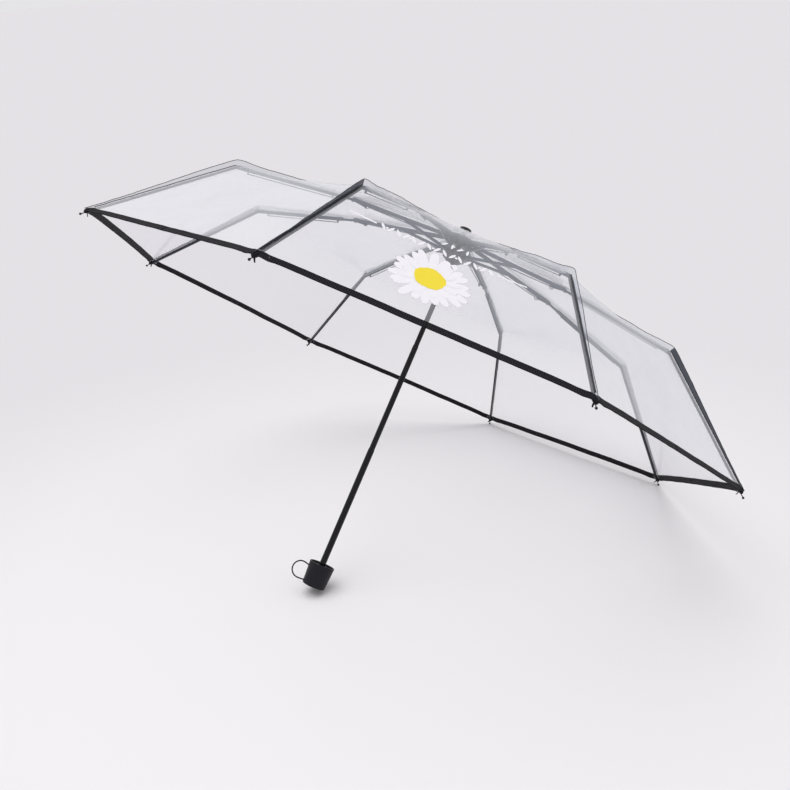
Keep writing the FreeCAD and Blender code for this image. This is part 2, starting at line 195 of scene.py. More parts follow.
# ---- meshes ----
def new_piece(name, points, faces, materials):
    mesh = bpy.data.meshes.new(name)
    mesh.from_pydata([tuple(p) for p in points], [], faces)
    mesh.validate()
    for m in materials if isinstance(materials, (list, tuple)) else [materials]:
        mesh.materials.append(m)
    mesh.polygons.foreach_set("use_smooth", [True] * len(mesh.polygons))
    piece = bpy.data.objects.new(name, mesh)
    bpy.context.scene.collection.objects.link(piece)
    return piece


def grid_faces(rows, columns, wrap=False, start=0):
    faces = []
    for r in range(rows - 1):
        for c in range(columns if wrap else columns - 1):
            a, b = r * columns + c, r * columns + (c + 1) % columns
            faces.append((start + a, start + b, start + b + columns, start + a + columns))
    return faces


def set_uv(piece, uv_of):
    """Coordinates in metres along and across a strip, one pair for each vertex."""
    layer = piece.data.uv_layers.new(name="along")
    for loop in piece.data.loops:
        layer.data[loop.index].uv = uv_of[loop.vertex_index]


def face_out(piece, reference=UP):
    """Turns an open sheet so that its faces look up."""
    piece.data.update()
    total = sum((f.normal * f.area for f in piece.data.polygons), Vector())
    if total.dot(reference) < 0:
        piece.data.flip_normals()
    return piece


def recalculated(piece):
    b = bmesh.new()
    b.from_mesh(piece.data)
    bmesh.ops.recalc_face_normals(b, faces=b.faces)
    b.to_mesh(piece.data)
    b.free()
    return piece


# ---- materials ----
def put(tree, kind, settings=None, sockets=None):
    """Adds a node; a socket given as a value is linked."""
    n = tree.nodes.new("ShaderNode" + kind)
    for key, value in (settings or {}).items():
        setattr(n, key, value)
    for key, value in (sockets or {}).items():
        if isinstance(value, bpy.types.NodeSocket):
            tree.links.new(value, n.inputs[key])
        else:
            n.inputs[key].default_value = value
    return n


def math_node(tree, operation, *values, clamp=False):
    return put(tree, "Math", {"operation": operation, "use_clamp": clamp}, dict(enumerate(values))).outputs[0]


def blend_colours(tree, factor, a, b):
    n = tree.nodes.new("ShaderNodeMix")
    n.data_type = "RGBA"
    for index, value in ((0, factor), (6, a), (7, b)):
        if isinstance(value, bpy.types.NodeSocket):
            tree.links.new(value, n.inputs[index])
        else:
            n.inputs[index].default_value = value
    return n.outputs[2]


def group(name, inputs, outputs):
    g = bpy.data.node_groups.new(name, "ShaderNodeTree")
    for label, value in inputs:
        s = g.interface.new_socket(label, in_out="INPUT", socket_type="NodeSocketFloat")
        s.default_value = value
    for label in outputs:
        g.interface.new_socket(label, in_out="OUTPUT", socket_type="NodeSocketFloat")
    return g, g.nodes.new("NodeGroupInput"), g.nodes.new("NodeGroupOutput")


def make_wear():
    """Handling marks: blotches, fine grain and rubbed lines."""
    scales = (("Grain Scale", 900.0), ("Blotch Scale", 30.0))
    g, given, out = group("wear", scales, ("Blotch", "Grain", "Rub"))
    place = put(g, "TexCoord").outputs["Object"]
    fine, broad = given.outputs[0], given.outputs[1]
    grain = put(g, "TexNoise", sockets={"Vector": place, "Scale": fine, "Detail": 3.0}).outputs[0]
    blotch = put(g, "TexNoise", sockets={"Vector": place, "Scale": broad, "Detail": 4.0}).outputs[0]
    rub = put(g, "TexNoise", sockets={"Vector": place, "Scale": math_node(g, "MULTIPLY", broad, 7.0),
                                      "Detail": 6.0, "Roughness": 0.7}).outputs[0]
    rub = put(g, "MapRange", sockets={"Value": rub, "From Min": 0.56, "From Max": 0.74}).outputs[0]
    for label, value in (("Blotch", blotch), ("Grain", grain), ("Rub", rub)):
        g.links.new(value, out.inputs[label])
    return g


FULL_TURN = 6.2832


def make_weave():
    """Ribs across a tape or braid and a finer thread along it, laid by the strip's own coordinates."""
    g, given, out = group("ribbed weave", (("Ribs", 900.0), ("Threads", 1500.0)), ("Height", "Dark"))
    place = put(g, "TexCoord").outputs["UV"]
    parts = put(g, "SeparateXYZ", sockets={"Vector": place})

    def wave(distance, per_metre):
        turns = math_node(g, "MULTIPLY", per_metre, FULL_TURN)
        return math_node(g, "SINE", math_node(g, "MULTIPLY", distance, turns))

    along, across = wave(parts.outputs[0], given.outputs[0]), wave(parts.outputs[1], given.outputs[1])
    coarse, fine = math_node(g, "MULTIPLY", along, 0.38), math_node(g, "MULTIPLY", across, 0.12)
    height = math_node(g, "ADD", math_node(g, "ADD", coarse, fine), 0.5)
    g.links.new(height, out.inputs["Height"])
    # Dark is the painted shade in the weave's grooves, the height turned over
    g.links.new(math_node(g, "SUBTRACT", 1.0, height, clamp=True), out.inputs["Dark"])
    return g


WEAR, WEAVE = make_wear(), make_weave()


def place_group(tree, g, values):
    n = tree.nodes.new("ShaderNodeGroup")
    n.node_tree = g
    for key, value in values.items():
        n.inputs[key].default_value = value
    return n.outputs


def new_material(name, **plain):
    """A material with its Principled shader; plain values go on the shader's own sockets."""
    m = bpy.data.materials.new(name)
    m.use_nodes = True
    tree = m.node_tree
    shader = tree.nodes["Principled BSDF"]
    for key, value in plain.items():
        shader.inputs[key.replace("_", " ")].default_value = value
    return m, tree, shader


def rgb(r, g, b):
    """Linear colour from the display values 0 to 255."""
    linear = [((c / 255 + 0.055) / 1.055) ** 2.4 if c > 10 else c / 255 / 12.92 for c in (r, g, b)]
    return (*linear, 1.0)


def worn(name, base, worn_base, roughness, bump, grain=900.0, blotch=30.0, **plain):
    """Hard finish with blotches, grain and rubbed places."""
    m, tree, shader = new_material(name, **{"Specular_IOR_Level": 0.3, **plain})
    marks = place_group(tree, WEAR, {"Grain Scale": grain, "Blotch Scale": blotch})
    tone = blend_colours(tree, math_node(tree, "MULTIPLY", marks["Rub"], 0.45), base, worn_base)
    tone = blend_colours(tree, math_node(tree, "MULTIPLY", marks["Blotch"], 0.35), tone, worn_base)
    tree.links.new(tone, shader.inputs["Base Color"])
    low, high = roughness
    rough = put(tree, "MapRange", sockets={"Value": marks["Blotch"], "From Min": 0.3, "From Max": 0.7,
                                           "To Min": low, "To Max": high}).outputs[0]
    tree.links.new(rough, shader.inputs["Roughness"])
    normal = put(tree, "Bump", sockets={"Height": marks["Grain"], "Strength": bump, "Distance": 0.0002})
    tree.links.new(normal.outputs[0], shader.inputs["Normal"])
    return m


def woven(name, base, ribs, threads, depth, **plain):
    """Woven tape or braid, with a painted highlight on the raised ribs and painted shade in the grooves."""
    m, tree, shader = new_material(name, **plain)
    weave = place_group(tree, WEAVE, {"Ribs": ribs, "Threads": threads})
    marks = place_group(tree, WEAR, {"Grain Scale": 2500.0, "Blotch Scale": 60.0})
    # painted light: raised ribs of the weave are painted lighter as highlight, the grooves darker as shade
    light = tuple(min(1.0, c * 3.2) for c in base[:3]) + (1.0,)
    dark = tuple(c * 0.45 for c in base[:3]) + (1.0,)
    tone = blend_colours(tree, weave["Dark"], light, dark)
    tone = blend_colours(tree, math_node(tree, "MULTIPLY", marks["Blotch"], 0.3), tone, base)
    tree.links.new(tone, shader.inputs["Base Color"])
    rough = put(tree, "MapRange", sockets={"Value": weave["Height"],
                                           "To Min": 0.85, "To Max": 0.6}).outputs[0]
    tree.links.new(rough, shader.inputs["Roughness"])
    normal = put(tree, "Bump", sockets={"Height": weave["Height"], "Strength": 0.8, "Distance": depth})
    tree.links.new(normal.outputs[0], shader.inputs["Normal"])
    return m


def clear(name, tint, clear_power, least, most, haze=0.06, **plain):
    """Clear vinyl: nearly unseen face on, its tint growing opaque towards a glancing angle as a painted
    reflection, with faint haze.
    """
    m, tree, shader = new_material(name, **plain)
    # painted reflection: the tint's opacity rises towards a glancing angle in place of the film's reflection;
    # the blotches add the film's own haze
    facing = put(tree, "LayerWeight", sockets={"Blend": 0.5}).outputs["Facing"]
    through = math_node(tree, "POWER", math_node(tree, "SUBTRACT", 1.0, facing, clamp=True), clear_power)
    sheen_and_haze = math_node(tree, "SUBTRACT", 1.0, through)
    marks = place_group(tree, WEAR, {"Grain Scale": 220.0, "Blotch Scale": 14.0})
    uneven = math_node(tree, "MULTIPLY", math_node(tree, "SUBTRACT", marks["Blotch"], 0.5), haze * 2)
    sheen_and_haze = math_node(tree, "ADD", sheen_and_haze, uneven)
    sheen_and_haze = math_node(tree, "MAXIMUM", math_node(tree, "MINIMUM", sheen_and_haze, most), least)
    tree.links.new(sheen_and_haze, shader.inputs["Alpha"])
    pale = tuple(min(1.0, c * 1.12) for c in tint[:3]) + (1.0,)
    tree.links.new(blend_colours(tree, marks["Blotch"], tint, pale), shader.inputs["Base Color"])
    rough = put(tree, "MapRange", sockets={"Value": marks["Grain"],
                                           "To Min": 0.04, "To Max": 0.16}).outputs[0]
    tree.links.new(rough, shader.inputs["Roughness"])
    normal = put(tree, "Bump", sockets={"Height": marks["Blotch"], "Strength": 0.35, "Distance": 0.0012})
    tree.links.new(normal.outputs[0], shader.inputs["Normal"])
    return m


def ink(name, base, thin, **plain):
    """Screen ink with slightly thin places."""
    m, tree, shader = new_material(name, **plain)
    marks = place_group(tree, WEAR, {"Grain Scale": 1600.0, "Blotch Scale": 90.0})
    tree.links.new(blend_colours(tree, math_node(tree, "MULTIPLY", marks["Blotch"], 0.6), base, thin),
                   shader.inputs["Base Color"])
    rough = put(tree, "MapRange", sockets={"Value": marks["Grain"], "To Min": 0.3, "To Max": 0.5}).outputs[0]
    tree.links.new(rough, shader.inputs["Roughness"])
    normal = put(tree, "Bump", sockets={"Height": marks["Grain"], "Strength": 0.25, "Distance": 0.0001})
    tree.links.new(normal.outputs[0], shader.inputs["Normal"])
    return m


FRAME_METAL = worn("slate coated steel", rgb(34, 42, 60), rgb(92, 102, 126), (0.24, 0.38), 0.12,
                   Metallic=0.5, Coat_Weight=0.2)
OUTER_RIB = worn("black coated rib", rgb(20, 22, 29), rgb(56, 60, 74), (0.24, 0.38), 0.1,
                 Metallic=0.3, Coat_Weight=0.2)
SHAFT_METAL = worn("black lacquered tube", rgb(11, 11, 14), rgb(28, 27, 32), (0.2, 0.32), 0.06, blotch=18.0,
                   Specular_IOR_Level=0.18, Coat_Weight=0.12)
HANDLE_PLASTIC = worn("black moulded plastic", rgb(23, 22, 28), rgb(42, 41, 49), (0.36, 0.52), 0.35,
                      grain=1500.0, Specular_IOR_Level=0.18)
HUB_PLASTIC = worn("hub plastic", rgb(28, 28, 33), rgb(54, 54, 62), (0.3, 0.46), 0.25, grain=1300.0)
SPRING_STEEL = worn("spring steel", rgb(150, 152, 156), rgb(200, 202, 206), (0.2, 0.34), 0.1, Metallic=1.0)
BINDING = woven("black ribbed tape", rgb(22, 21, 25), 400.0, 380.0, 0.0004,
                Sheen_Weight=0.03, Sheen_Roughness=0.4, Specular_IOR_Level=0.08)
SEAM_TAPE = worn("black vinyl tape", rgb(18, 18, 23), rgb(52, 54, 66), (0.1, 0.3), 0.3,
                 grain=500.0, blotch=90.0, Coat_Weight=0.3, Coat_Roughness=0.08)
CORD = woven("black braided cord", rgb(9, 9, 12), 60.0, 9.0, 0.0002,
             Sheen_Weight=0.03, Specular_IOR_Level=0.1)
FILM = clear("clear film", rgb(231, 232, 238), 0.5, 0.06, 0.66, haze=0.05, IOR=1.5)
# painted shade: the clear seam again in a dark smoky tint, for the outer seams that lie in shade
SHADED_SEAM = clear("seam painted dark as shade", rgb(30, 37, 54), 0.5, 0.93, 0.99, haze=0.2, IOR=1.45, Specular_IOR_Level=0.3)
CLEAR_SEAM = clear("clear seam", rgb(126, 137, 160), 0.5, 0.24, 0.56, haze=0.5, IOR=1.5)
WELD_EDGE = clear("welded edge", rgb(46, 56, 80), 0.5, 0.6, 0.86, haze=0.3, IOR=1.5)
CLEAR_PLASTIC = clear("clear collar", rgb(214, 216, 222), 0.7, 0.35, 0.9, IOR=1.5)
WHITE_INK = ink("white ink", rgb(250, 247, 252), rgb(240, 237, 245))
YELLOW_INK = ink("yellow ink", rgb(249, 228, 40), rgb(243, 213, 28))

SLOT_MATERIAL = {
    "frame_metal": FRAME_METAL, "outer_rib": OUTER_RIB, "shaft_metal": SHAFT_METAL,
    "handle_plastic": HANDLE_PLASTIC, "hub_plastic": HUB_PLASTIC, "spring_steel": SPRING_STEEL,
    "cord_fabric": CORD, "binding_fabric": BINDING, "clear_film": FILM, "clear_plastic": CLEAR_PLASTIC,
}
NODE_SLOT = {
    "handle": "handle_plastic", "lower_tube": "shaft_metal", "middle_tube": "shaft_metal",
    "upper_tube": "shaft_metal", "crown": "hub_plastic", "runner": "hub_plastic",
    "runner_catch": "spring_steel", "catch_spring": "spring_steel", "ferrule_cap": "hub_plastic",
    "ferrule_collar": "clear_plastic", "wrist_cord": "cord_fabric", "edge_binding": "binding_fabric",
}
for node_name, node in frame["nodes"].items():
    slot_name = NODE_SLOT.get(node_name)
    if slot_name is None:
        slot_name = ("clear_film" if node_name.startswith("canopy_panel")
                     else "outer_rib" if node_name.startswith("outer_rib") else "frame_metal")
    if not node.material_slots:
        node.data.materials.append(SLOT_MATERIAL[slot_name])
    for holder in node.material_slots:
        holder.material = SLOT_MATERIAL[slot_name]


# ---- camera ----
LENS = 45.976
CAMERA_PLACE = (-0.00517, -1.42069, 0.21908)
CAMERA_TURN_DEG = (93.133, -23.149, -1.446)

camera_data = bpy.data.cameras.new("camera")
camera_data.lens = LENS
camera = bpy.data.objects.new("camera", camera_data)
camera.location = CAMERA_PLACE
camera.rotation_euler = [math.radians(a) for a in CAMERA_TURN_DEG]
bpy.context.scene.collection.objects.link(camera)
bpy.context.scene.camera = camera


# ---- wrist cord ----
CORD_DEG = 186.0
CORD_R = 0.95 * MM
CORD_ROUTE = (                # from the shaft's axis and up from the handle's bottom, in millimetres
    (12.8, 23.8), (21.8, 27.0), (30.5, 27.2), (37.2, 20.4),
    (37.2, 11.0), (31.4, 4.2), (23.2, 2.8), (12.4, 4.2),
)
CORD_EXIT = (17.4, 25.4)      # where it leaves the handle


def make_cord():
    """Closed loop through the handle's side, on one smooth line."""
    out_x, out_y = math.cos(math.radians(CORD_DEG)), math.sin(math.radians(CORD_DEG))
    curve = bpy.data.curves.new("wrist_cord_line", "CURVE")
    curve.dimensions = "3D"
    curve.bevel_depth = CORD_R
    curve.bevel_resolution = 5
    curve.resolution_u = 16
    curve.use_fill_caps = True
    line = curve.splines.new("NURBS")
    line.points.add(len(CORD_ROUTE) - 1)
    for point, (r, z) in zip(line.points, CORD_ROUTE):
        point.co = (r * MM * out_x, r * MM * out_y, z * MM, 1)
    line.order_u = 3
    line.use_endpoint_u = True
    curve.materials.append(CORD)
    piece = bpy.data.objects.new("wrist_loop", curve)
    bpy.context.scene.collection.objects.link(piece)
    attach(piece, "handle")
    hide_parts("wrist_cord")
    r, z = CORD_EXIT


make_cord()


# ---- canopy ----
HANDS = (("left", -1), ("right", 1))


def settle(piece, zone, k):
    """Rides the rib section."""
    x0, x1 = zone_ends(zone, 0)
    anchor, _, normal = film_frame(k, (x0 + x1) / 2)
    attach(piece, BODY[zone] % k)
    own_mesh(piece)
    return piece


FILM_COLUMNS = 18
FILM_CROWDING = 1.35         # over 1, columns stand closer near the rib
FILM_ROWS = {"inner": 24, "middle": 26, "outer": 30}


def film_piece(zone, k, word, hand):
    """Film from rib k to the middle of the panel beside it."""
    columns = [hand * (i / FILM_COLUMNS) ** FILM_CROWDING for i in range(FILM_COLUMNS + 1)]
    rows = FILM_ROWS[zone]
    points = []
    for r in range(rows + 1):
        for share in columns:
            x0, x1 = zone_ends(zone, share)
            points.append(film_point(k, x0 + (x1 - x0) * r / rows, share))
    piece = new_piece("film_%s_%d_%s" % (zone, k, word), points, grid_faces(rows + 1, len(columns)), FILM)
    face_out(piece)
    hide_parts("canopy_panel_%d" % (k if hand > 0 else (k - 2) % RIBS + 1))
    return settle(piece, zone, k)


def film_frame(k, x):
    """Point, outward direction along the slope and outward normal of the film over rib k."""
    out, _ = rib_axes(k)
    here, ahead = film_point(k, x - 1.5 * MM, 0), film_point(k, x + 1.5 * MM, 0)
    along = (ahead - here).normalized()
    normal = (UP * along.dot(out) - out * along.dot(UP)).normalized()
    return film_point(k, x, 0), along, normal


SEAM_LOW, SEAM_RISE, SEAM_DROP = 3.2, 3.8, 4.6      # millimetres: inwards, up to the knee, down to the tip


def seam_height(x):
    """Millimetres that the welded edges stand up: low at the elbow and the tip, highest before the knee."""
    height = SEAM_LOW + SEAM_RISE * smooth(0.12, 0.28, x) - SEAM_DROP * smooth(0.325, 0.47, x)
    height *= 1 - 0.35 * smooth(0, 0.04, KNEE_X - x)
    return height * (0.35 + 0.65 * smooth(0, 0.07, abs(x - ELBOW_X)))


WELD_ACROSS = (-1, -0.84, -0.5, 0, 0.5, 0.84, 1)
WELD_HALF, WELD_WIDENS = 2.0, 1.6         # millimetres: half width near the hole, and what it gains outwards
WELD_LIFT, WELD_EDGE_LIFT = 0.22 * MM, 0.02 * MM


def weld_band(k, x0, x1, steps, points):
    """Double film either side of a seam, welded flat; adds its points and returns its faces."""
    start, across = len(points), WELD_ACROSS
    for i in range(steps + 1):
        x = x0 + (x1 - x0) * i / steps
        half = (WELD_HALF + WELD_WIDENS * smooth(0.04, 0.2, x)) * MM
        for a in across:
            lift = WELD_LIFT if abs(a) < 1 else WELD_EDGE_LIFT
            points.append(film_point(k, x, a * half / (x * TAN_H)) + UP * lift)
    return grid_faces(steps + 1, len(across), start=start)


# outer seams left clear where they catch the light; the other outer seams get the copy painted dark as shade
LIT_OUTER_SEAMS = (2, 8)
SEAM_START = 12 * MM         # past the top hole
SEAM_LEAN, SEAM_SWAY = 0.10, 0.28         # sideways, as shares of the height
SEAM_RIPPLE = 0.5 * MM
SEAM_THREAD_R = 0.40         # millimetres


def seam_piece(zone, k):
    """Welded seam: both panels' edges stand up together over the rib and end in a dark thread."""
    _, side = rib_axes(k)
    x0, x1 = zone_ends(zone, 0)
    x0 += SEAM_START if zone == "inner" else 0
    steps, levels, sides = 60, (0, 0.25, 0.5, 0.75, 1.0), 6
    points, thread = [], []
    for i in range(steps + 1):
        base, _, normal = film_frame(k, x0 + (x1 - x0) * i / steps)
        height = seam_height((base - UP * base.z).length) * MM
        lean = SEAM_SWAY * noise.noise(base * 30.0) + SEAM_LEAN
        ripple = SEAM_RIPPLE * noise.noise(base * 150.0)
        for share in levels:
            points.append(base + normal * (0.15 * MM + height * share)
                          + side * (lean * height * share * share + ripple * math.sin(math.pi * share)))
        for s in range(sides):
            a = 2 * math.pi * s / sides
            thread.append(points[-1] + (normal * math.cos(a) + side * math.sin(a)) * SEAM_THREAD_R * MM)
    faces = grid_faces(steps + 1, len(levels))
    material_of = [0] * len(faces)
    if zone != "outer":
        faces += weld_band(k, x0, x1, steps, points)
        cells = len(WELD_ACROSS) - 1
        material_of += [2 if c in (0, cells - 1) else 0 for c in range(cells)] * steps
    bead = grid_faces(steps + 1, sides, wrap=True, start=len(points))
    # painted shade: outer seams out of the light get the dark copy of the clear seam
    body = SHADED_SEAM if zone == "outer" and k not in LIT_OUTER_SEAMS else CLEAR_SEAM
    piece = new_piece("seam_%s_%d" % (zone, k), points + thread, faces + bead, [body, SEAM_TAPE, WELD_EDGE])
    piece.data.polygons.foreach_set("material_index", material_of + [1] * len(bead))
    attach(piece, BODY[zone] % k)
    if zone != "outer":
        x0, x1 = zone_ends(zone, 0)
        anchor, _, normal = film_frame(k, (x0 + x1) / 2)
        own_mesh(piece)
    return piece


RIB_TAPE_SECTION = (          # across, as a share of the half width, and up in millimetres
    (-1, 0.25), (-0.97, 0.62), (-0.8, 0.62), (-0.55, 0.50), (-0.2, 0.9), (0, 1.15),
    (0.2, 0.9), (0.55, 0.50), (0.8, 0.62), (0.97, 0.62), (1, 0.25), (0, 0.2),
)
RIB_TAPE_WIDTH = {5: 1.2, 6: 1.5, 7: 1.25, 8: 0.7}      # against the other ribs' tapes
RIB_TAPE_END = 0.468
RIB_TAPE_HALF, RIB_TAPE_NARROWS = 1.9, 0.6          # millimetres: half width at the knee, and what it loses


def rib_tape(k):
    """Black strip welded over the film along an outer rib, wide at the knee and narrow at the tip."""
    _, side = rib_axes(k)
    steps, points, uv = 30, [], []
    x0, x1 = KNEE_X + 1.5 * MM, RIB_TAPE_END
    for i in range(steps + 1):
        x = x0 + (x1 - x0) * i / steps
        base, _, normal = film_frame(k, x)
        half = (RIB_TAPE_HALF - RIB_TAPE_NARROWS * i / steps) * RIB_TAPE_WIDTH.get(k, 1.0) * MM
        half *= 0.35 + 0.65 * smooth(0, 2, i)
        for across, rise in RIB_TAPE_SECTION:
            points.append(base + side * half * across + normal * rise * MM)
            uv.append((x, across * half))
    n = len(RIB_TAPE_SECTION)
    faces = grid_faces(steps + 1, n, wrap=True) + [tuple(range(n)), tuple(range(steps * n, steps * n + n))]
    piece = recalculated(new_piece("rib_tape_%d" % k, points, faces, SEAM_TAPE))
    set_uv(piece, uv)
    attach(piece, "outer_rib_%d" % k)
    return piece


TAPE_SECTION = (              # in from the rim and up from the film, in millimetres
    (9.0, 0.30), (8.7, 0.66), (8.0, 0.50), (4.5, 0.46), (1.2, 0.54), (0.4, 0.74), (-0.45, 0.44), (-0.62, 0.0),
    (-0.45, -0.44), (0.4, -0.74), (1.2, -0.54), (4.5, -0.46), (8.0, -0.50), (8.7, -0.66), (9.0, -0.30),
)


TAPE_REACH = 7 * MM          # the tape follows the film's slope over this width
TAPE_STEP = 0.02             # share of a panel over which the rim's direction is taken
TAPE_WAVE = 0.22 * MM


def edge_tape(k, word, hand):
    """Ribbed tape folded over the rim, from rib k to the middle of the panel beside it."""
    points, uv = [], []
    steps = 28
    length = 0.0
    before = None
    for i in range(steps + 1):
        share = hand * i / steps
        x = rim_x(share)
        here = film_point(k, x, share)
        inward = (film_point(k, x - TAPE_REACH, share) - here).normalized()
        ahead, behind = min(1, share + TAPE_STEP), max(-1, share - TAPE_STEP)
        along = (film_point(k, rim_x(ahead), ahead) - film_point(k, rim_x(behind), behind)).normalized()
        normal = along.cross(inward).normalized()
        if normal.z < 0:
            normal = -normal
        inward = (inward - along * inward.dot(along)).normalized()
        length += (here - before).length if before is not None else 0
        before = here
        wave = TAPE_WAVE * noise.noise(here * 90.0)
        for into, off in TAPE_SECTION:
            points.append(here + inward * into * MM + normal * (off * MM + wave))
            uv.append((length, into * MM))
    n = len(TAPE_SECTION)
    faces = grid_faces(steps + 1, n, wrap=True) + [tuple(range(n)), tuple(range(steps * n, steps * n + n))]
    piece = recalculated(new_piece("edge_tape_%d_%s" % (k, word), points, faces, BINDING))
    set_uv(piece, uv)
    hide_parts("edge_binding")
    return settle(piece, "outer", k)


KNOT_HALF = (5.4 * MM, 3.3 * MM, 2.9 * MM)          # along the rib, sideways, up
KNOT_ROWS, KNOT_COLUMNS = 22, 18
KNOT_PLEATS = 5
KNOT_GIRTH_R = 3 * MM
TAIL_ROWS, TAIL_SIDES = 9, 8


def tip_knot(k):
    """The tape's ends, gathered and tied round the rib's tip, with a short tail."""
    _, side = rib_axes(k)
    base, along, normal = film_frame(k, RIM_REACH - 3 * MM)
    centre = base - normal * 1.2 * MM + along * 1.0 * MM
    half_long, half_wide, half_high = KNOT_HALF
    points, uv = [], []
    for r in range(KNOT_ROWS + 1):
        a = math.pi * r / KNOT_ROWS
        for c in range(KNOT_COLUMNS):
            b = 2 * math.pi * c / KNOT_COLUMNS
            girth = math.sin(a) ** 0.8
            pleat = 1 + 0.13 * math.sin(KNOT_PLEATS * b + 3 * a + k) * girth + 0.10 * math.sin(9 * a)
            place = (along * (-math.cos(a) * half_long) + side * (math.cos(b) * girth * half_wide * pleat)
                     + normal * (math.sin(b) * girth * half_high * pleat))
            place += Vector((1, 1, 1)) * 0.5 * MM * noise.noise((centre + place) * 420.0) * girth
            points.append(centre + place)
            uv.append((b * KNOT_GIRTH_R, a * KNOT_GIRTH_R))
    faces = grid_faces(KNOT_ROWS + 1, KNOT_COLUMNS, wrap=True)
    start = len(points)
    for i in range(TAIL_ROWS):
        drop = i / (TAIL_ROWS - 1)
        place = (centre + along * (1.5 + 1.5 * drop) * MM - normal * (2.0 + 5.2 * drop) * MM
                 + side * (1.2 * drop * drop) * MM)
        for s in range(TAIL_SIDES):
            b = 2 * math.pi * s / TAIL_SIDES
            points.append(place + side * math.cos(b) * (1.5 - 0.5 * drop) * MM
                          + along * math.sin(b) * (0.7 - 0.2 * drop) * MM)
            uv.append((drop * 5 * MM, b * MM))
    faces += grid_faces(TAIL_ROWS, TAIL_SIDES, wrap=True, start=start)
    last = start + (TAIL_ROWS - 1) * TAIL_SIDES
    faces += [tuple(range(last, last + TAIL_SIDES)), tuple(range(start, start + TAIL_SIDES))]
    piece = recalculated(new_piece("tip_knot_%d" % k, points, faces, BINDING))
    set_uv(piece, uv)
    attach(piece, "outer_rib_%d" % k)
    return piece


def sheet_facts(zone, k):
    """Works out points along the film over rib k; nothing uses them."""
    x0, x1 = zone_ends(zone, 0)
    profile = [film_point(k, x0 + (x1 - x0) * i / 12, 0) for i in range(13)]


for k in range(1, RIBS + 1):
    for zone in ZONES:
        seam = [seam_piece(zone, k)]
        if zone == "outer":
            seam += [rib_tape(k), tip_knot(k)]
        for word, hand in HANDS:
            piece = film_piece(zone, k, word, hand)
            extra = seam if hand > 0 else []
            if zone == "outer":
                extra = extra + [edge_tape(k, word, hand)]
            sheet_facts(zone, k)


# ---- flower print and ornament on the front panel ----
RIM_LINE = RIM_REACH * COS_H
SLOPE_COS = math.cos(math.radians(45.3))
FRONT_NORMAL = Vector((0, -0.71, 0.70))
PRINT_LAYER = 0.01 * MM      # between outlines that lie on each other
PRINT_CELL = 5.0 * MM        # the print is cut this fine, to follow the film


def printed(name, outlines, material, lift):
    """Ink laid on the film from outlines in millimetres: sideways, and up the slope from the rim.
    The print is cut where the film is, so that each part follows its own rib section."""
    b = bmesh.new()
    for i, outline in enumerate(outlines):
        level = i * PRINT_LAYER
        b.faces.new([b.verts.new((u * MM, RIM_LINE - v * MM * SLOPE_COS, level)) for u, v in outline])
    bmesh.ops.triangulate(b, faces=b.faces[:])

    def cut(place, normal):
        bmesh.ops.bisect_plane(b, geom=b.verts[:] + b.edges[:] + b.faces[:], plane_co=place, plane_no=normal)

    us, ps = [v.co.x for v in b.verts], [v.co.y for v in b.verts]
    for i in range(int(min(us) / PRINT_CELL) - 1, int(max(us) / PRINT_CELL) + 2):
        cut((i * PRINT_CELL, 0, 0), (1, 0, 0))
    for i in range(int(min(ps) / PRINT_CELL) - 1, int(max(ps) / PRINT_CELL) + 2):
        cut((0, i * PRINT_CELL, 0), (0, 1, 0))
    for sign in (-1, 1):
        direction = Vector((sign * SIN_H, COS_H, 0))
        cut(direction * KNEE_X, direction)
    sets = {}
    for f in b.faces:
        c = f.calc_center_median()
        k = 1 if c.x < 0 else 2
        reach = (c.x * (-SIN_H if k == 1 else SIN_H)) + c.y * COS_H
        zone = "outer" if reach > KNEE_X else "middle"
        sets.setdefault((k, zone), []).append([v.co.copy() for v in f.verts])
    b.free()
    for (k, zone), polygons in sorted(sets.items(), key=lambda item: item[0]):
        points, index, faces = [], {}, []
        for polygon in polygons:
            face = []
            for c in polygon:
                key = (round(c.x, 7), round(c.y, 7), round(c.z, 6))
                if key not in index:
                    index[key] = len(points)
                    at_rib = min(1.0, abs(c.x) / (c.y * TAN_H))
                    z = film_height(c.y / COS_H, at_rib, c.x, -c.y)
                    points.append(Vector((c.x, -c.y, z)) + FRONT_NORMAL * (lift * MM + c.z))
                face.append(index[key])
            if len(set(face)) == len(face):
                faces.append(face)
        piece = face_out(new_piece("%s_%s_%d" % (name, zone, k), points, faces, material))
        settle(piece, zone, k)


# Places of the print are in millimetres: sideways, and up the slope from the rim.
DAISY_CENTRE = (-15.6, 83.4)
DAISY_SEED = 12
PETAL_ROOT = 11              # from the daisy's centre, under the eye
LONG_PETALS, SHORT_PETALS = 22, 13
LONG_LENGTH, LONG_WIDTH = (41.0, 49.0), (8.8, 11.2)
SHORT_LENGTH, SHORT_WIDTH = (30.0, 35.0), (8.0, 10.5)
DAISY_GAPS = ((1.30, 1.62, 1.31), (3.86, 4.20, 3.84))      # from, to, and where their petals lie instead
SHORT_GAP = (3.82, 4.26)
LONGEST, LONGEST_AT = 51.0, (4.20, 4.40)
EYE_R = 17.6
INK_LIFT, EYE_LIFT = 0.30, 0.75


